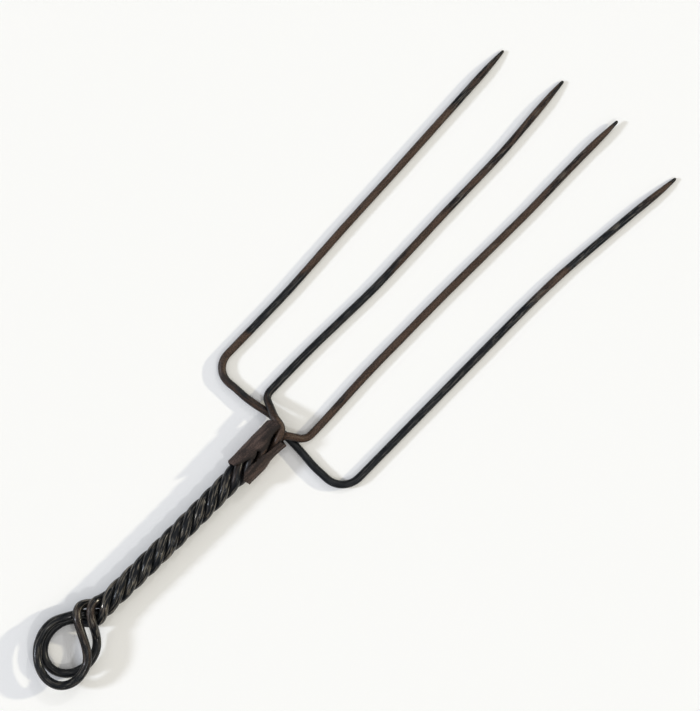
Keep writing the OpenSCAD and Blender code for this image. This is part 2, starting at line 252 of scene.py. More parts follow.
# The light all round: how high it starts to rise and is full, and its strength low down and overhead
SKY_SPAN = (0.3, 0.95)
SKY_STRENGTH = (0.1, 0.68)


def size(name, description, default):
    """A length that a user may set."""
    return FloatProperty(name=name, description=description, default=default, unit="LENGTH", precision=5)


def tint(name, description, default):
    """A colour that a user may set."""
    return FloatVectorProperty(name=name, description=description, default=default, subtype="COLOR",
                               min=0.0, max=1.0)


class WireSettings(bpy.types.PropertyGroup):
    """Sizes of the iron wire and of the marks that the hammer and the rust left in it."""

    diameter: size("Diameter", "Diameter of the iron wire", 0.0044)
    strand_gap: size("Lay-up gap", "Clearance that the strands and loops are laid up with", 0.00045)
    shank_d: size("Shank", "Diameter that a tine is worn down to where its point begins", 0.0041)
    wear_l: size("Wear", "Length over which a tine wears down to its point", 0.150)
    point_l: size("Point", "Length of a tine's point", 0.025)
    tip_d: size("Tip", "Width of a point's blunt end", 0.0016)
    swell: size("Swell", "Extra radius of the unworn wire in the grip and the ring", 0.0003)
    bed: size("Bed", "Further radius by which the grip's strands are pressed into each other", 0.0002)
    crest_wear: size("Crest wear", "Depth by which the hand has worn the crests of the grip", 0.0006)
    ring_spacing: size("Ring spacing", "Distance between the rings of a wire's mesh", 0.0006)
    sides: IntProperty(name="Sides", description="Sides of a wire's mesh", default=24, min=8)
    dent_depth: size("Dent depth", "Depth of the hammer's dents", 0.00022)
    dent_size: size("Dent size", "Breadth of the hammer's dents", 0.007)
    pit_depth: size("Pit depth", "Depth of the rust pits", 0.0005)
    pit_size: size("Pit size", "Breadth of the rust pits", 0.0012)
    seed: IntProperty(name="Seed", description="Number that the dents and pits are drawn from", default=3)


class GripSettings(bpy.types.PropertyGroup):
    """Sizes of the twisted grip."""

    length: size("Length", "Length of bare twist between the ring's neck and the clasp", 0.100)
    lay_neck: size("Lay at the neck", "Length of one turn of the twist at the ring's neck", 0.0435)
    lay_clasp: size("Lay at the clasp", "Length of one turn where the twist enters the clasp", 0.038)
    lay_mouth: size("Lay at the mouth", "Length of one turn at the clasp's mouth", 0.062)
    bow: size("Bow", "Sideways set of the grip at the ring's neck", 0.0018)


class RingSettings(bpy.types.PropertyGroup):
    """Sizes of the two loops of the hanging ring, between wire centres."""

    big_l: size("Outer loop length", "Long diameter of the outer loop", 0.037)
    big_w: size("Outer loop width", "Short diameter of the outer loop", 0.0284)
    big_lean: FloatProperty(name="Outer loop lean", description="Lean of the outer loop from the grip's axis",
                            default=math.radians(38), subtype="ANGLE")
    big_set: size("Outer loop set", "Sideways set of the outer loop from the end of the twist", 0.0017)
    small_l: size("Inner loop length", "Length of the inner loop", 0.0318)
    small_w: size("Inner loop width", "Width of the inner loop", 0.0272)
    small_set: size("Inner loop set", "Sideways set of the inner loop from the end of the twist", 0.0024)
    small_rise: size("Inner loop rise", "Distance by which the inner loop begins nearer the grip", 0.0017)


class ClaspSettings(bpy.types.PropertyGroup):
    """Sizes of the sheet clasp and of its torn edges."""

    sheet_t: size("Sheet", "Thickness of the sheet iron", 0.001)
    corner_r: size("Rolled side", "Radius of the clasp's rolled sides", 0.0068)
    lip_step: size("Lip step", "Distance by which the right lip stops short of the left one", 0.0028)
    cell: size("Mesh cell", "Breadth of a cell of the sheet's mesh", 0.0004)
    ragged: size("Torn edge", "Depth of the small tears along the sheet's edges", 0.0004)
    lump: size("Lumps", "Height of the lumps left by hammering the sheet down", 0.0005)
    tuck: size("Tuck", "Depth by which the seam's edges are hammered in", 0.0005)
    # Painted shade: the sheet is darkened near the seam's edges, where it turns away from the light
    seam_shade: size("Seam shade", "Distance from the seam over which grime darkens the sheet", 0.0035)


class FinishSettings(bpy.types.PropertyGroup):
    """Colours of the iron."""

    black: tint("Black scale", "Blue-black scale on the wire", (0.0062, 0.0075, 0.0097))
    grey: tint("Grey scale", "Paler grey in the scale", (0.0185, 0.0207, 0.0238))
    rust: tint("Rust", "Brown rust on the wire", (0.088, 0.0535, 0.0375))
    dark_rust: tint("Dark rust", "Darker brown in the rust", (0.026, 0.017, 0.012))
    bare: tint("Rubbed metal", "Metal rubbed bare by the hand", (0.2, 0.175, 0.14))
    sheet: tint("Sheet", "Brown of the sheet clasp", (0.1, 0.067, 0.056))
    sheet_dark: tint("Dark sheet", "Dark stains on the sheet clasp", (0.019, 0.0145, 0.013))


class StageSettings(bpy.types.PropertyGroup):
    """The table, its lamps and the camera."""

    floor: tint("Table", "Colour of the table", (0.97, 0.97, 0.965))
    cool: tint("Left lamp", "Colour of the lamp on the left", (0.83, 0.89, 1.0))
    warm: tint("Right lamp", "Colour of the lamp on the right", (1.0, 0.93, 0.72))
    room: tint("Room", "Colour of the light all round", (1.0, 0.995, 0.985))
    camera_height: size("Camera height", "Height of the camera over the table", 2.0)


class ForkSettings(bpy.types.PropertyGroup):
    """All the settings of the fork."""

    wire: PointerProperty(type=WireSettings)
    grip: PointerProperty(type=GripSettings)
    ring: PointerProperty(type=RingSettings)
    clasp: PointerProperty(type=ClaspSettings)
    finish: PointerProperty(type=FinishSettings)
    stage: PointerProperty(type=StageSettings)


def unit(v):
    """The direction of a vector."""
    return v / np.linalg.norm(v)


def mix(a, b, f):
    """The value at a share f of the way from a to b."""
    return a + (b - a) * f


def smooth(f):
    """A share from 0 to 1 with eased ends."""
    f = np.clip(f, 0.0, 1.0)
    return f * f * (3 - 2 * f)


def eased(value, span):
    """A share that eases from 0 to 1 as a value goes over a span."""
    low, high = span
    return smooth((value - low) / (high - low))


def along(stations, f):
    """The value at f between stations of (place, value)."""
    places, values = zip(*stations)
    return np.interp(f, places, values)


def stops_at(point, stops):
    """Stops as places and headings, each place found by a function."""
    return [(point(*place), np.array(heading)) for place, heading in stops]


def turns(length, lay_a, lay_b, f):
    """Turns made along a share f of a length of twist, as its lay changes."""
    return length * (f / lay_a + (1 / lay_b - 1 / lay_a) * f * f / 2)


class Route:
    """Centre lines of the wires, in metres, from the table under the clasp's mouth."""

    def __init__(self, fork):
        self.wire = fork.wire
        self.grip = fork.grip
        self.ring = fork.ring
        left_lip = LEFT_LIP_SHARE * fork.clasp.lip_step
        self.mouth = np.array([(CLASP_LOW.x + CLASP_HIGH.x) / 2, CLASP_HIGH.y - left_lip, 0.0])
        self.clasp_l = CLASP_HIGH.y - CLASP_LOW.y - left_lip
        self.axis_z = CLASP_HIGH.z / 2
        self.wire_r = self.wire.diameter / 2
        self.spacing = self.wire.diameter + self.wire.strand_gap
        self.neck_y = -self.clasp_l - self.grip.length
        asked = self.turned(self.neck_y)
        self.stretch = asked / (round(asked - NECK_TURN) + NECK_TURN)
        lay = self.stretch * min(self.grip.lay_neck, self.grip.lay_clasp, self.grip.lay_mouth)
        bundle_r = self.spacing / math.sqrt(2)
        self.twist_r = bundle_r / math.cos(math.atan(2 * math.pi * bundle_r / lay))

    def turned(self, y):
        """Turns of the twist from the mouth down to y, before its lay is stretched."""
        grip = self.grip
        in_clasp = min(-y / self.clasp_l, 1)
        in_grip = max((-y - self.clasp_l) / grip.length, 0)
        return (turns(self.clasp_l, grip.lay_mouth, grip.lay_clasp, in_clasp)
                + turns(grip.length, grip.lay_clasp, grip.lay_neck, in_grip))

    def axis_at(self, y):
        """Sideways place of the twist's axis at y."""
        in_grip = np.clip((-y - self.clasp_l) / self.grip.length, 0, 1)
        return -self.grip.bow * in_grip ** 2

    def strand_at(self, turn, y):
        """Place of a strand at y."""
        a = math.radians(turn) + 2 * math.pi * self.turned(y) / self.stretch
        return np.array([self.axis_at(y) + self.twist_r * math.sin(a), y,
                         self.axis_z + self.twist_r * math.cos(a)])

    def strand_stop(self, turn, y):
        """Place of a strand at y and its heading towards the tines."""
        ahead = self.strand_at(turn, y + HEADING_STEP)
        behind = self.strand_at(turn, y - HEADING_STEP)
        return self.strand_at(turn, y), ahead - behind

    def bend(self, start, end):
        """Points of an eased bend between two stops, without its last point."""
        (p, out), (q, back) = start, end
        reach = np.linalg.norm(q - p)
        f = np.arange(0, 1, LINE_STEP / reach)[:, None]
        g = 1 - f
        return (p * g * g * (1 + 2 * f) + q * f * f * (3 - 2 * f)
                + (unit(out) * g - unit(back) * f) * reach * f * g)

    def way(self, stops):
        """Points of a way that bends smoothly from stop to stop, without its last point."""
        return np.concatenate([self.bend(a, b) for a, b in zip(stops[:-1], stops[1:])])

    def round_bend(self, p, corner, q, radius):
        """Points of a round bend at a corner, on the way from p to q."""
        a, b = unit(p - corner), unit(q - corner)
        half = math.acos(a @ b) / 2
        hub = corner + unit(a + b) * radius / math.sin(half)
        start = corner + a * radius / math.tan(half) - hub
        end = corner + b * radius / math.tan(half) - hub
        sweep = math.pi - 2 * half
        f = np.linspace(0, 1, BEND_POINTS)[:, None]
        return hub + (start * np.sin(sweep * (1 - f)) + end * np.sin(sweep * f)) / math.sin(sweep)

    def radius_off(self, to_tip):
        """Radius of a wire at a distance from its tip, which is rounded."""
        wire = self.wire
        f = np.minimum(to_tip / wire.point_l, 1)
        point = mix(wire.tip_d, wire.shank_d, f * (2 - f)) / 2
        worn = (wire.diameter - wire.shank_d) / 2 * np.clip((to_tip - wire.point_l) / wire.wear_l, 0, 1)
        tip_r = wire.tip_d / 2
        rounding = np.sqrt(1 - (1 - np.minimum(to_tip / tip_r, 1)) ** 2)
        return (point + worn) * np.maximum(rounding, BLUNT_END)

    def tine(self, tine, from_y):
        """Points of a tine from its root bend to its point."""
        y = np.append(np.arange(from_y + LINE_STEP, tine.length, LINE_STEP), tine.length)
        stations = tine.bows + [(1.0, tine.splay)]
        f = y / tine.length
        bow = (along(stations, f - BOW_EASE) + 2 * along(stations, f) + along(stations, f + BOW_EASE)) / 4
        to_tip = tine.length - y
        flat_end = np.maximum(to_tip, self.wire.tip_d / 2)
        z = self.radius_off(flat_end) + tine.lift * np.maximum(1 - to_tip / self.wire.point_l, 0)
        return np.stack([tine.side * (tine.reach + bow), y, z], axis=1)

    def mouth_point(self, x, y, z):
        """A place at the mouth, in wire spacings from the middle of the twist, or on the table without z."""
        height = self.wire_r if z is None else self.axis_z + z * self.spacing
        return np.array([x * self.spacing, y * self.spacing, height])

    def sagging_run(self, start, end, sag):
        """Points of a sideways run that sags towards the grip, without its last point."""
        lowest, depth = sag
        f = np.linspace(0, 1, BEND_POINTS)[:-1, None]
        share = np.sin(math.pi * f ** (math.log(0.5) / math.log(lowest))) ** 2
        return mix(start, end, f) - np.array([0, 1, 0]) * depth * share

    def leg(self, tine):
        """Points of one leg of a wire, from the ring's neck to the point of its tine."""
        ys = np.arange(self.neck_y, tine.leave, LINE_STEP)
        strand = np.array([self.strand_at(tine.turn, y) for y in ys])
        run_from = self.mouth_point(*tine.run_from)
        root = np.array([tine.side * tine.reach, tine.root_y * self.spacing, self.wire_r])
        stops = [self.strand_stop(tine.turn, tine.leave)] + stops_at(self.mouth_point, tine.stops)
        stops.append((run_from, root - run_from))
        crank = self.round_bend(run_from, root, root + [0, tine.length, 0], tine.crank_r)
        run = self.sagging_run(run_from, crank[0], tine.sag)
        return np.concatenate([strand, self.way(stops), run, crank, self.tine(tine, crank[-1][1])])

    def neck_point(self, x, y, z):
        """A place at the neck, counted in wire spacings from the middle of the loops' near end."""
        near_end = np.array([-self.grip.bow, self.neck_y - NECK_L * self.spacing, self.axis_z])
        return near_end + np.array([x, y, z]) * self.spacing

    def bight(self, bight, right, left, middle, length, width, lean):
        """Points of a bight: the right leg comes down, rounds a leaning oval and goes back up as the left."""
        a = np.radians(np.linspace(bight.leave_a, bight.return_a, LOOP_POINTS))
        lift = np.linspace(bight.leave_z, bight.return_z, LOOP_POINTS) * self.spacing
        long, across = np.cos(a) * length / 2, np.sin(a) * width / 2
        oval = middle + np.stack([across * math.cos(lean) - long * math.sin(lean),
                                  long * math.cos(lean) + across * math.sin(lean), lift], axis=1)
        down, heading = self.strand_stop(right.turn, self.neck_y)
        level = np.array([1, 1, 0])
        down_way = [(down, -heading)] + stops_at(self.neck_point, bight.down_stops)
        down_way.append((oval[0], (oval[1] - oval[0]) * level))
        up_way = [(oval[-1], (oval[-1] - oval[-2]) * level)] + stops_at(self.neck_point, bight.up_stops)
        up_way.append(self.strand_stop(left.turn, self.neck_y))
        return np.concatenate([self.way(down_way)[1:], oval, self.way(up_way)[1:]])

    def inner_wire(self):
        """The wire of the inner tines and the outer loop."""
        ring = self.ring
        middle = self.neck_point(0, 0, 0) + [ring.big_set, -ring.big_l / 2, 0]
        loop = self.bight(INNER_BIGHT, INNER_RIGHT, INNER_LEFT, middle, ring.big_l, ring.big_w, ring.big_lean)
        return self.whole_wire(INNER_RIGHT, loop, INNER_LEFT)

    def outer_wire(self):
        """The wire of the outer tines and the inner loop."""
        ring = self.ring
        middle = self.neck_point(0, 0, 0) + [ring.small_set, ring.small_rise - ring.small_l / 2, 0]
        loop = self.bight(OUTER_BIGHT, OUTER_RIGHT, OUTER_LEFT, middle, ring.small_l, ring.small_w, 0.0)
        return self.whole_wire(OUTER_RIGHT, loop, OUTER_LEFT)

    def whole_wire(self, right, loop, left):
        """A wire's line from point to point, with its radius and its rust at each place."""
        line = evened(np.concatenate([self.leg(right)[::-1], loop, self.leg(left)]))
        to_tip = np.minimum(np.linalg.norm(line - line[0], axis=1), np.linalg.norm(line - line[-1], axis=1))
        y, z = line[:, 1], line[:, 2]
        is_right = np.arange(len(line)) < len(line) / 2
        on_tine = np.where(is_right, along(right.rust, y / right.length), along(left.rust, y / left.length))
        on_tine = on_tine * eased(to_tip, RUST_FROM_POINT)
        on_ring = eased(z - self.axis_z, RUST_ABOVE_MIDDLE) * eased(self.neck_y - y, RUST_BELOW_NECK)
        rust = np.maximum(np.where(y > 0, on_tine, along(GRIP_RUST, -y)), RING_RUST * on_ring)
        unworn = eased(-y - self.clasp_l, SWELL_BELOW_CLASP)
        in_twist = unworn * eased(y - self.neck_y, BED_ABOVE_NECK)
        radius = self.radius_off(to_tip) + unworn * self.wire.swell + in_twist * self.wire.bed
        return line + self.mouth, radius, rust


def evened(points):
    """The same line with evenly spaced points and its small kinks eased."""
    lengths = np.concatenate([[0], np.cumsum(np.linalg.norm(np.diff(points, axis=0), axis=1))])
    even = np.linspace(0, lengths[-1], int(lengths[-1] / LINE_STEP))
    line = np.stack([np.interp(even, lengths, points[:, k]) for k in range(3)], axis=1)
    for _ in range(EASE_PASSES):
        line[1:-1] = (line[:-2] + 2 * line[1:-1] + line[2:]) / 4
    return line


def add(tree, kind, inputs=None, **settings):
    """A new node with its settings, and with its inputs set or linked."""
    made = tree.nodes.new(kind)
    for name, value in settings.items():
        setattr(made, name, value)
    for socket, value in (inputs or {}).items():
        if isinstance(value, bpy.types.NodeSocket):
            tree.links.new(value, made.inputs[socket])
        else:
            made.inputs[socket].default_value = value
    return made


def maths(tree, operation, a, b):
    """A sum, product or the like of two values."""
    return add(tree, "ShaderNodeMath", {0: a, 1: b}, operation=operation).outputs[0]


def grain(tree, vector, scale, detail=4.0, seed=0.0):
    """A cloudy noise on a vector, from 0 to 1."""
    made = add(tree, "ShaderNodeTexNoise", {"Vector": vector, "Scale": scale, "Detail": detail, "W": seed},
               noise_dimensions="4D")
    return made.outputs[0]


def ramp(tree, value, span, to=(0.0, 1.0)):
    """A value eased from one span to another."""
    inputs = {"Value": value, "From Min": span[0], "From Max": span[1], "To Min": to[0], "To Max": to[1]}
    return add(tree, "ShaderNodeMapRange", inputs, interpolation_type="SMOOTHSTEP").outputs[0]


def blend(tree, share, a, b):
    """A colour between two colours."""
    return add(tree, "ShaderNodeMix", {0: share, 6: a, 7: b}, data_type="RGBA").outputs[2]


def stretched(tree, vector, scale):
    """A vector with each of its parts scaled."""
    return add(tree, "ShaderNodeMapping", {"Vector": vector, "Scale": scale}).outputs[0]


def kept_value(tree, name, output="Fac"):
    """A value that a mesh keeps on its points."""
    return add(tree, "ShaderNodeAttribute", attribute_name=name).outputs[output]


def opaque(color):
    """A colour setting with its alpha."""
    return (*color, 1.0)


def new_material(name):
    """A material with the common gloss, its tree and its surface shader."""
    material = bpy.data.materials.new(name)
    material.use_nodes = True
    tree = material.node_tree
    shader = tree.nodes["Principled BSDF"]
    shader.inputs["Specular IOR Level"].default_value = GLOSS
    return material, tree, shader


def roughen(tree, shader, height, strength, depth):
    """Gives a surface fine bumps."""
    bump = add(tree, "ShaderNodeBump", {"Height": height, "Strength": strength, "Distance": depth})
    tree.links.new(bump.outputs[0], shader.inputs["Normal"])


def blackened_wire(finish):
    """Blue-black scale with brown rust, rubbed to the metal where a hand holds it, and painted shade on its
    steep sides.
    """
    material, tree, shader = new_material("blackened_wire")
    rust = kept_value(tree, "rust")
    rub = kept_value(tree, "rub")
    side_shade = kept_value(tree, "side_shade")
    way = kept_value(tree, "wire_way", "Vector")
    lengthwise = stretched(tree, way, (1.0, 1.0, WIRE_DRAW))
    patches = grain(tree, lengthwise, WIRE_PATCHES)
    streaks = grain(tree, lengthwise, WIRE_STREAKS)
    specks = grain(tree, way, WIRE_SPECKS)

    spread = maths(tree, "MULTIPLY", maths(tree, "SUBTRACT", patches, 0.5), PATCH_SPREAD)
    rusty = ramp(tree, maths(tree, "ADD", rust, spread), RUSTY_SPAN)
    scale = blend(tree, ramp(tree, streaks, GREY_SPAN), opaque(finish.black), opaque(finish.grey))
    mottled = maths(tree, "ADD", specks, maths(tree, "MULTIPLY", spread, PATCH_MOTTLE))
    brown = blend(tree, ramp(tree, mottled, BROWN_SPAN), opaque(finish.dark_rust), opaque(finish.rust))
    skin = blend(tree, rusty, scale, brown)
    # Painted shade: the wire's steep sides are painted darker, towards the black scale
    side_shaded = blend(tree, maths(tree, "MULTIPLY", side_shade, SIDE_SHADE_SHARE), skin, opaque(finish.black))
    scratched = maths(tree, "MULTIPLY", rub, ramp(tree, rusty, (0.0, 1.0), SCRATCH_SHARES))
    flecks = maths(tree, "MULTIPLY", ramp(tree, streaks, FLECK_SPAN), scratched)
    tree.links.new(blend(tree, flecks, side_shaded, opaque(finish.bare)), shader.inputs["Base Color"])

    polish = ramp(tree, rub, TINE_RUB, SCALE_ROUGHNESS)
    dull = add(tree, "ShaderNodeMix", {0: rusty, 2: polish, 3: RUST_ROUGHNESS}).outputs[0]
    rough = maths(tree, "ADD", dull, ramp(tree, specks, SPECK_SPAN, SPECK_ROUGHNESS))
    tree.links.new(rough, shader.inputs["Roughness"])
    tree.links.new(maths(tree, "MULTIPLY", flecks, FLECK_METAL), shader.inputs["Metallic"])
    uneven = maths(tree, "ADD", rusty, maths(tree, "MULTIPLY", rub, rub))
    roughen(tree, shader, height=maths(tree, "ADD", specks, streaks),
            strength=ramp(tree, uneven, (0.0, 1.0), WIRE_BUMP), depth=WIRE_BUMP_DEPTH)
    return material


def rusted_sheet(finish):
    """Dull brown sheet iron with dark stains, and painted shade along the edges of its seam."""
    material, tree, shader = new_material("rusted_sheet")
    seam_shade = kept_value(tree, "seam_shade")
    place = add(tree, "ShaderNodeTexCoord").outputs["Object"]
    stains = grain(tree, stretched(tree, place, (1.0, SHEET_DRAW, 1.0)), SHEET_STAINS)
    specks = grain(tree, place, SHEET_SPECKS)
    mottled = maths(tree, "ADD", stains, ramp(tree, specks, SPECK_SPAN, SHEET_MOTTLE))
    # Painted shade darkens the sheet towards its dark colour near the seam's edges
    clean = maths(tree, "SUBTRACT", mottled, maths(tree, "MULTIPLY", seam_shade, SEAM_SHADE_SHARE))
    color = blend(tree, ramp(tree, clean, STAIN_SPAN), opaque(finish.sheet_dark), opaque(finish.sheet))
    tree.links.new(color, shader.inputs["Base Color"])
    tree.links.new(ramp(tree, specks, SPECK_SPAN, SHEET_ROUGHNESS), shader.inputs["Roughness"])
    roughen(tree, shader, height=maths(tree, "ADD", specks, stains),
            strength=SHEET_BUMP, depth=SHEET_BUMP_DEPTH)
    return material


WIRE_INPUTS = {
    "Ring Spacing": "NodeSocketFloat",
    "Sides": "NodeSocketInt",
    "Dent Depth": "NodeSocketFloat",
    "Dent Size": "NodeSocketFloat",
    "Pit Depth": "NodeSocketFloat",
    "Pit Size": "NodeSocketFloat",
    "Seed": "NodeSocketFloat",
    "Material": "NodeSocketMaterial",
}


def named(tree, name, kind="FLOAT"):
    """An attribute of the geometry, by name."""
    return add(tree, "GeometryNodeInputNamedAttribute", {"Name": name}, data_type=kind).outputs[0]


def stored(tree, geometry, name, value, kind="FLOAT"):
    """The geometry with a value kept on its points under a name."""
    made = add(tree, "GeometryNodeStoreNamedAttribute", {"Geometry": geometry, "Name": name, "Value": value},
               data_type=kind, domain="POINT")
    return made.outputs[0]


def scaled(tree, vector, factor):
    """A vector times a number."""
    return add(tree, "ShaderNodeVectorMath", {0: vector, "Scale": factor}, operation="SCALE").outputs[0]


def swept_wire(tree, line, ring_spacing, sides):
    """A round wire along a line of points, which keeps each point's way round it and along it."""
    curve = add(tree, "GeometryNodeMeshToCurve", {"Mesh": line}).outputs[0]
    radius = named(tree, "wire_radius")
    curve = add(tree, "GeometryNodeSetCurveRadius", {"Curve": curve, "Radius": radius}).outputs[0]
    curve = add(tree, "GeometryNodeResampleCurve", {"Curve": curve, "Length": ring_spacing},
                mode="LENGTH").outputs[0]
    curve = stored(tree, curve, "distance", add(tree, "GeometryNodeSplineParameter").outputs["Length"])
    circle = add(tree, "GeometryNodeCurvePrimitiveCircle", {"Resolution": sides, "Radius": 1.0}).outputs[0]
    place = add(tree, "GeometryNodeInputPosition").outputs[0]
    section = stored(tree, circle, "section", place, "FLOAT_VECTOR")
    wire = add(tree, "GeometryNodeCurveToMesh",
               {"Curve": curve, "Profile Curve": section, "Scale": radius, "Fill Caps": True}).outputs[0]
    around = scaled(tree, named(tree, "section", "FLOAT_VECTOR"), radius)
    ahead = add(tree, "ShaderNodeCombineXYZ", {"Z": named(tree, "distance")}).outputs[0]
    way = add(tree, "ShaderNodeVectorMath", {0: around, 1: ahead}, operation="ADD").outputs[0]
    return stored(tree, wire, "wire_way", way, "FLOAT_VECTOR")


def dents_and_pits(tree, given):
    """How far the surface of a wire stands in or out."""
    way = named(tree, "wire_way", "FLOAT_VECTOR")
    dents = grain(tree, way, maths(tree, "DIVIDE", 1.0, given["Dent Size"]), 1.0, given["Seed"])
    dent = maths(tree, "MULTIPLY", maths(tree, "SUBTRACT", dents, 0.5), given["Dent Depth"])
    pits = grain(tree, way, maths(tree, "DIVIDE", 1.0, given["Pit Size"]), 2.0, given["Seed"])
    pitted = maths(tree, "MAXIMUM", maths(tree, "SUBTRACT", pits, PIT_LEVEL), 0.0)
    depth = maths(tree, "MULTIPLY", named(tree, "rust"), given["Pit Depth"])
    return maths(tree, "SUBTRACT", dent, maths(tree, "MULTIPLY", pitted, depth))


def forged_wire_tree():
    """Nodes that sweep a round wire along a line of points, then dent and pit it."""
    tree = bpy.data.node_groups.new("forged_wire", "GeometryNodeTree")
    tree.interface.new_socket("Line", in_out="INPUT", socket_type="NodeSocketGeometry")
    for name, kind in WIRE_INPUTS.items():
        tree.interface.new_socket(name, in_out="INPUT", socket_type=kind)
    tree.interface.new_socket("Wire", in_out="OUTPUT", socket_type="NodeSocketGeometry")
    given = add(tree, "NodeGroupInput").outputs

    wire = swept_wire(tree, given["Line"], given["Ring Spacing"], given["Sides"])
    normal = add(tree, "GeometryNodeInputNormal").outputs[0]
    offset = scaled(tree, normal, dents_and_pits(tree, given))
    wire = add(tree, "GeometryNodeSetPosition", {"Geometry": wire, "Offset": offset}).outputs[0]
    for spare in ("distance", "section"):
        wire = add(tree, "GeometryNodeRemoveAttribute", {"Geometry": wire, "Name": spare}).outputs[0]
    wire = add(tree, "GeometryNodeSetShadeSmooth", {"Geometry": wire}).outputs[0]
    wire = add(tree, "GeometryNodeRealizeInstances", {"Geometry": wire}).outputs[0]
    wire = add(tree, "GeometryNodeSetMaterial", {"Geometry": wire, "Material": given["Material"]}).outputs[0]
    add(tree, "NodeGroupOutput", {"Wire": wire})
    return tree


def set_inputs(modifier, values):
    """Sets a node modifier's inputs by their sockets' identifiers."""
    for item in modifier.node_group.interface.items_tree:
        if item.name in values:
            modifier[item.identifier] = values[item.name]


def placed(name, data):
    """A new object in the scene."""
    made = bpy.data.objects.new(name, data)
    bpy.context.scene.collection.objects.link(made)
    return made


def keep_value(mesh, name, values):
    """Keeps a value on a mesh's points under a name."""
    mesh.attributes.new(name, "FLOAT", "POINT").data.foreach_set("value", values.astype(np.float32).ravel())


def vectors_of(items, name):
    """A vector of each of a mesh's items, by name."""
    flat = np.empty(len(items) * 3, np.float32)
    items.foreach_get(name, flat)
    return flat.reshape(-1, 3)


def line_object(name, points, values):
    """A chain of points, with values kept on them."""
    mesh = bpy.data.meshes.new(name)
    mesh.from_pydata(points.tolist(), [(i, i + 1) for i in range(len(points) - 1)], [])
    for attribute, numbers in values.items():
        keep_value(mesh, attribute, numbers)
    return placed(name, mesh)


def grid_object(name, places):
    """A sheet of faces on rows of places."""
    rows, columns, _ = places.shape
    faces = [(r * columns + c, (r + 1) * columns + c, (r + 1) * columns + c + 1, r * columns + c + 1)
             for r in range(rows - 1) for c in range(columns - 1)]
    mesh = bpy.data.meshes.new(name)
    mesh.from_pydata(places.reshape(-1, 3).tolist(), [], faces)
    return placed(name, mesh)


def make_plain(piece):
    """Turns a piece's evaluated shape into its plain mesh, and removes its modifiers."""
    graph = bpy.context.evaluated_depsgraph_get()
    made = bpy.data.meshes.new_from_object(piece.evaluated_get(graph), preserve_all_data_layers=True,
                                           depsgraph=graph)
    bare = piece.data
    piece.modifiers.clear()
    piece.data = made
    made.name = piece.name
    bpy.data.meshes.remove(bare)


def wear_wire(mesh, route):
    """Wears down the crests of the grip, and keeps how far each point is rubbed and how much painted shade
    darkens it.
    """
    place = vectors_of(mesh.vertices, "co") - route.mouth
    y = place[:, 1]
    across = np.stack([place[:, 0] - route.axis_at(y), place[:, 2] - route.axis_z], axis=1)
    off_axis = np.linalg.norm(across, axis=1)
    below_clasp = eased(-y - route.clasp_l, RUB_BELOW_CLASP)
    on_grip = below_clasp * eased(y - route.neck_y, WEAR_ABOVE_NECK)
    worn_r = route.twist_r + route.wire_r - route.wire.crest_wear
    over = np.maximum(off_axis - worn_r, 0) * on_grip
    place[:, [0, 2]] -= across * (CREST_LOSS * over / off_axis)[:, None]
    mesh.vertices.foreach_set("co", (place + route.mouth).astype(np.float32).ravel())

    crest = eased((off_axis - route.twist_r) / route.wire_r, CREST_SPAN)
    tine_rub = mix(*TINE_RUB, eased(y, POLISH_ABOVE_MOUTH)) * eased(y, RUB_ABOVE_MOUTH)
    ring_rub = mix(*RING_RUB, eased(place[:, 2] - route.axis_z, RUB_ABOVE_MIDDLE))
    rub = mix(tine_rub, mix(*GRIP_RUB, crest), below_clasp)
    keep_value(mesh, "rub", mix(rub, ring_rub, eased(route.neck_y - y, RUB_BELOW_NECK)))
    # Painted shade: the steeper the surface at a point, the more its colour is darkened
    level = np.abs(vectors_of(mesh.vertex_normals, "vector")[:, 2])
    keep_value(mesh, "side_shade", 1 - eased(level, SIDE_SHADE_SPAN))


def check_fit(piece, node_name):
    """Stops the script if a piece isn't where the solid that it dresses is."""
    place = vectors_of(piece.data.vertices, "co")
    low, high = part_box(node_name)
    off = max(np.abs(place.min(0) - low).max(), np.abs(place.max(0) - high).max())
    if off > FIT_SLACK:
        raise ValueError(f"{piece.name} stands {off * 1000:.2f} mm off {node_name}")


def dress(piece, node_name):
    """The piece stands for a solid, which it hides, and moves with it."""
    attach(piece, BODY)
    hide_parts(node_name)


class FORK_OT_wires(bpy.types.Operator):
    """Bend, twist and blacken the two wires"""

    bl_idname = "flesh_fork.wires"
    bl_label = "Wires"

    def execute(self, context):
        fork = context.scene.flesh_fork
        route = Route(fork)
        tree = forged_wire_tree()
        finish = blackened_wire(fork.finish)
        wire = fork.wire
        lines = {"inner": route.inner_wire(), "outer": route.outer_wire()}
        for count, (name, (line, radius, rust)) in enumerate(lines.items()):
            piece = line_object(f"{name}_wire", line, {"wire_radius": radius, "rust": rust})
            modifier = piece.modifiers.new("forged_wire", "NODES")
            modifier.node_group = tree
            set_inputs(modifier, {
                "Ring Spacing": wire.ring_spacing, "Sides": wire.sides,
                "Dent Depth": wire.dent_depth, "Dent Size": wire.dent_size,
                "Pit Depth": wire.pit_depth, "Pit Size": wire.pit_size,
                "Seed": float(wire.seed + count), "Material": finish})
            make_plain(piece)
            wear_wire(piece.data, route)
            check_fit(piece, f"{name}_tine_wire")
            dress(piece, f"{name}_tine_wire")
        return {"FINISHED"}


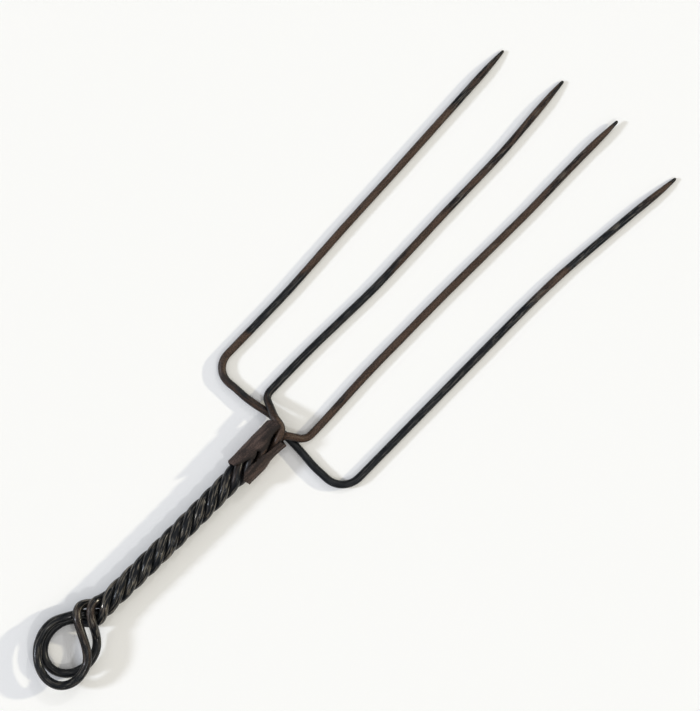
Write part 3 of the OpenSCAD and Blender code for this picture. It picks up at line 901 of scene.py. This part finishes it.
def rolled_section(width, height, corner_r):
    """Points round the outside of the clasp from the middle of its top to the left, and their distances."""
    corners = [(-1, 1, 90), (-1, -1, 180), (1, -1, 270), (1, 1, 360)]
    points = [(0.0, height / 2)]
    for side, top, start in corners:
        for a in np.radians(np.linspace(start, start + 90, BEND_POINTS)):
            points.append((side * (width / 2 - corner_r) + corner_r * math.cos(a),
                           top * (height / 2 - corner_r) + corner_r * math.sin(a)))
    points.append(points[0])
    points = np.array(points)
    steps = np.linalg.norm(np.diff(points, axis=0), axis=1)
    return points, np.concatenate([[0], np.cumsum(steps)])


def wander(numbers, tears):
    """A ragged wandering from -1 to 1 along a row of numbers."""
    fineness, lane = tears
    ragged = [noise.fractal(Vector((n * fineness, lane, TEAR_LEVEL)), *TEAR_BUILD) for n in numbers.flat]
    return np.reshape(ragged, numbers.shape)


def lumps(x, y, z, depth):
    """How far a hammered sheet stands out at each place."""
    out = np.empty(x.shape)
    for index in np.ndindex(x.shape):
        place = Vector((x[index], LUMP_DRAW * y[index], z[index]))
        out[index] = sum(share * noise.noise(place * fineness) for fineness, share in LUMP_SIZES)
    return out * depth


def torn_outline(clasp, length, whole):
    """A grid over the torn sheet: distances round it, places along the grip, and the edges of its seam."""
    u = np.linspace(0, 1, int(whole / clasp.cell))[None, :]
    v = np.linspace(0, 1, int(length / clasp.cell))[:, None]
    left_edge = -along(LEFT_SEAM, mix(LEFT_FOOT[0][1], LEFT_LIP[0][1], v))
    left_edge = left_edge + wander(v * length, LEFT_TEARS) * clasp.ragged
    right_edge = whole - along(RIGHT_SEAM, mix(RIGHT_FOOT[0][1], RIGHT_LIP[0][1], v))
    right_edge = right_edge + wander(v * length, RIGHT_TEARS) * clasp.ragged
    d = mix(left_edge, right_edge, u)
    on_left = d < whole / 2
    foot = np.where(on_left, along(LEFT_FOOT, d), along(RIGHT_FOOT, whole - d))
    foot = foot + wander(u * whole, FOOT_TEARS) * clasp.ragged
    lip = np.where(on_left, along(LEFT_LIP, d), along(RIGHT_LIP, whole - d))
    lip = lip + wander(u * whole, LIP_TEARS) * clasp.ragged
    return d, mix(foot, lip, v), left_edge, right_edge


def torn_sheet(clasp, route):
    """Rows of places on the clasp's outside, from the seam's left edge to its right, and the painted shade
    near the seam.
    """
    height = CLASP_HIGH.z
    section, distances = rolled_section(CLASP_HIGH.x - CLASP_LOW.x, height, clasp.corner_r)
    whole = distances[-1]
    d, y, left_edge, right_edge = torn_outline(clasp, route.clasp_l, whole)
    x, z = (np.interp(d % whole, distances, section[:, k]) for k in range(2))
    next_x, next_z = (np.interp((d + clasp.cell) % whole, distances, section[:, k]) for k in range(2))
    step = np.hypot(next_x - x, next_z - z)
    out_x, out_z = (next_z - z) / step, (x - next_x) / step

    from_edge = np.minimum(d - left_edge, right_edge - d)
    bulge = lumps(x, y, z, clasp.lump) - clasp.tuck * np.exp(-(from_edge / TUCK_REACH) ** 2)
    bulge = bulge * eased(z + height / 2, UNDERSIDE_SPAN) + along(RIGHT_SIDE, y) * smooth(out_x)
    places = np.stack([x + out_x * bulge, y, z + out_z * bulge + route.axis_z], axis=2) + route.mouth
    # Painted shade near the seam's edges, fading with distance from each edge and weaker along the right one
    left_seam_shade = np.exp((left_edge - d) / clasp.seam_shade)
    right_seam_shade = RIGHT_SEAM_SHADE * np.exp((d - right_edge) / clasp.seam_shade)
    return places, np.maximum(left_seam_shade, right_seam_shade)


def thicken(piece, thickness):
    """Gives a sheet its thickness and its worn edges."""
    wall = piece.modifiers.new("sheet", "SOLIDIFY")
    wall.thickness = thickness
    wall.offset = -1.0
    edge = piece.modifiers.new("worn_edge", "BEVEL")
    edge.width = EDGE_WIDTH
    edge.segments = EDGE_SEGMENTS
    edge.limit_method = "ANGLE"
    edge.angle_limit = EDGE_CORNER


class FORK_OT_clasp(bpy.types.Operator):
    """Wrap the torn sheet clasp round the top of the twist"""

    bl_idname = "flesh_fork.clasp"
    bl_label = "Clasp"

    def execute(self, context):
        fork = context.scene.flesh_fork
        places, seam_shade = torn_sheet(fork.clasp, Route(fork))
        piece = grid_object("sheet_clasp", places)
        # Keeps the painted shade near the seam on the sheet's points
        keep_value(piece.data, "seam_shade", seam_shade)
        thicken(piece, fork.clasp.sheet_t)
        make_plain(piece)
        piece.data.materials.append(rusted_sheet(fork.finish))
        piece.data.shade_smooth()
        dress(piece, "clasp")
        return {"FINISHED"}


def pale_table(stage):
    """A plain, pale finish for the table."""
    material, _, shader = new_material("pale_table")
    shader.inputs["Base Color"].default_value = opaque(stage.floor)
    shader.inputs["Roughness"].default_value = TABLE_ROUGHNESS
    return material


def lay_table(stage):
    """The table that the fork lies on."""
    corners = [(-1, -1), (1, -1), (1, 1), (-1, 1)]
    mesh = bpy.data.meshes.new("table_top")
    mesh.from_pydata([(x * TABLE_HALF, y * TABLE_HALF, -TABLE_DROP) for x, y in corners], [], [range(4)])
    mesh.materials.append(pale_table(stage))
    table = placed("table_top", mesh)


def soft_lamp(name, color, strength, spread, bearing, lift):
    """A far, soft lamp that lights the whole table evenly, by its bearing from the picture's right."""
    data = bpy.data.lights.new(name, "SUN")
    data.color = color
    data.energy = strength
    data.angle = math.radians(spread)
    lamp = placed(name, data)
    lamp.rotation_euler = (0.0, math.radians(90 - lift), math.radians(bearing) + VIEW_TURN)


def set_lamps(stage):
    """The lamps round the table."""
    soft_lamp("right_lamp", stage.warm, strength=1.5, spread=2.5, bearing=14, lift=23)
    soft_lamp("left_lamp", stage.cool, strength=1.6, spread=8.0, bearing=180, lift=30)
    soft_lamp("near_lamp", stage.room, strength=0.36, spread=3.0, bearing=-48, lift=58)
    soft_lamp("far_lamp", stage.room, strength=0.24, spread=4.5, bearing=62, lift=45)


def overhead_light(stage):
    """Soft light all round, strongest from overhead."""
    world = bpy.data.worlds.new("room")
    world.use_nodes = True
    tree = world.node_tree
    heading = add(tree, "ShaderNodeTexCoord").outputs["Generated"]
    height = add(tree, "ShaderNodeSeparateXYZ", {"Vector": heading}).outputs["Z"]
    background = tree.nodes["Background"]
    background.inputs["Color"].default_value = opaque(stage.room)
    tree.links.new(ramp(tree, height, SKY_SPAN, SKY_STRENGTH), background.inputs["Strength"])
    return world


def overhead_camera(stage):
    """A camera that looks straight down."""
    data = bpy.data.cameras.new("camera")
    data.sensor_fit = "HORIZONTAL"
    data.sensor_width = SENSOR_WIDTH
    data.lens = SENSOR_WIDTH * stage.camera_height / VIEW_WIDTH
    camera = placed("camera", data)
    camera.location = VIEW_MIDDLE + Vector((0.0, 0.0, stage.camera_height))
    camera.rotation_euler = (0.0, 0.0, VIEW_TURN)
    return camera


class FORK_OT_stage(bpy.types.Operator):
    """Set the table, the lamps and the camera"""

    bl_idname = "flesh_fork.stage"
    bl_label = "Stage"

    def execute(self, context):
        scene = context.scene
        stage = scene.flesh_fork.stage
        lay_table(stage)
        set_lamps(stage)
        scene.world = overhead_light(stage)
        scene.view_settings.view_transform = "Standard"
        scene.camera = overhead_camera(stage)
        return {"FINISHED"}


OPERATORS = (FORK_OT_stage, FORK_OT_wires, FORK_OT_clasp)


class FORK_PT_panel(bpy.types.Panel):
    """Lists the fork's settings and its steps"""

    bl_idname = "FORK_PT_panel"
    bl_label = "Flesh fork"
    bl_space_type = "VIEW_3D"
    bl_region_type = "UI"
    bl_category = "Flesh fork"

    def draw(self, context):
        fork = context.scene.flesh_fork
        for name in ("wire", "grip", "ring", "clasp", "finish", "stage"):
            box = self.layout.box()
            box.label(text=name.capitalize())
            settings = getattr(fork, name)
            for key in settings.__annotations__:
                box.prop(settings, key)
        for operator in OPERATORS:
            self.layout.operator(operator.bl_idname)


CLASSES = (WireSettings, GripSettings, RingSettings, ClaspSettings, FinishSettings, StageSettings,
           ForkSettings, *OPERATORS, FORK_PT_panel)


def register():
    """Registers the classes and the scene's settings."""
    for made in CLASSES:
        bpy.utils.register_class(made)
    bpy.types.Scene.flesh_fork = PointerProperty(type=ForkSettings)


def unregister():
    """Takes the settings and the classes away again."""
    del bpy.types.Scene.flesh_fork
    for made in reversed(CLASSES):
        bpy.utils.unregister_class(made)


def main():
    """Makes the stage and every piece."""
    register()
    bpy.ops.flesh_fork.stage()
    bpy.ops.flesh_fork.wires()
    bpy.ops.flesh_fork.clasp()


if __name__ == "__main__":
    main()
